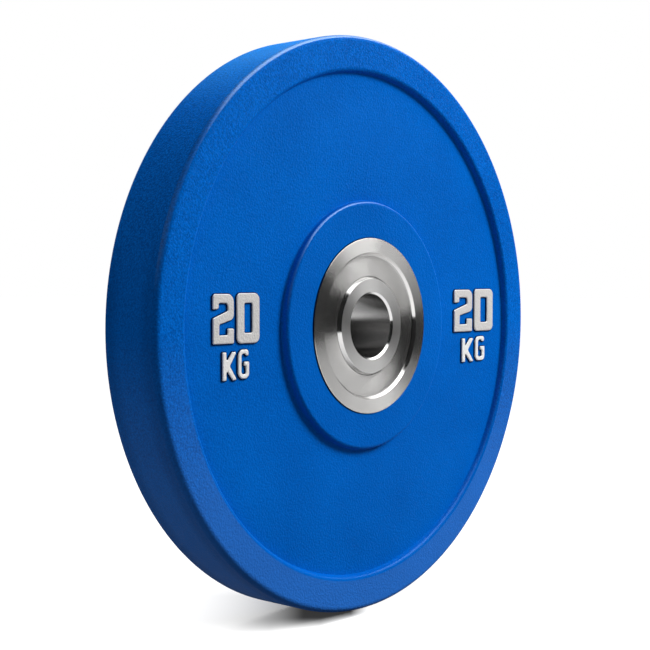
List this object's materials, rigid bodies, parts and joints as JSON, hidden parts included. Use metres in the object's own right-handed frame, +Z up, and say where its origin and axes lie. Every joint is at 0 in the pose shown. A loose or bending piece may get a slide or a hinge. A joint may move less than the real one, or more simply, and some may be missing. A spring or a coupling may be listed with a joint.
{
  "type": "bumper plate",
  "caption": "Rubber bumper plate for a barbell: moulded blue rubber body round an embedded steel disc, with a turned steel hub and a plain through bore.",
  "frame": {"origin": "centre of the bore, on the middle plane of the plate", "axes": "+Y along the bore, from the front face to the rear face; +Z up; +X to the right when the front face is looked at"},
  "size_m": [0.45, 0.0572, 0.45],
  "materials": {
    "blue_rubber": "matte",
    "disc_steel": "matte",
    "turned_steel": "satin",
    "sleeve_steel": "satin",
    "screw_steel": "satin",
    "pale_lettering": "matte"
  },
  "bodies": {
    "root": {"rubber_body": "blue_rubber", "core_disc": "disc_steel", "front_hub_flange": "turned_steel", "rear_hub_flange": "turned_steel", "bore_sleeve": "sleeve_steel", "hub_screw_1": "screw_steel", "hub_screw_2": "screw_steel", "hub_screw_3": "screw_steel", "hub_screw_4": "screw_steel", "hub_screw_5": "screw_steel", "hub_screw_6": "screw_steel"}
  },
  "joints": []
}
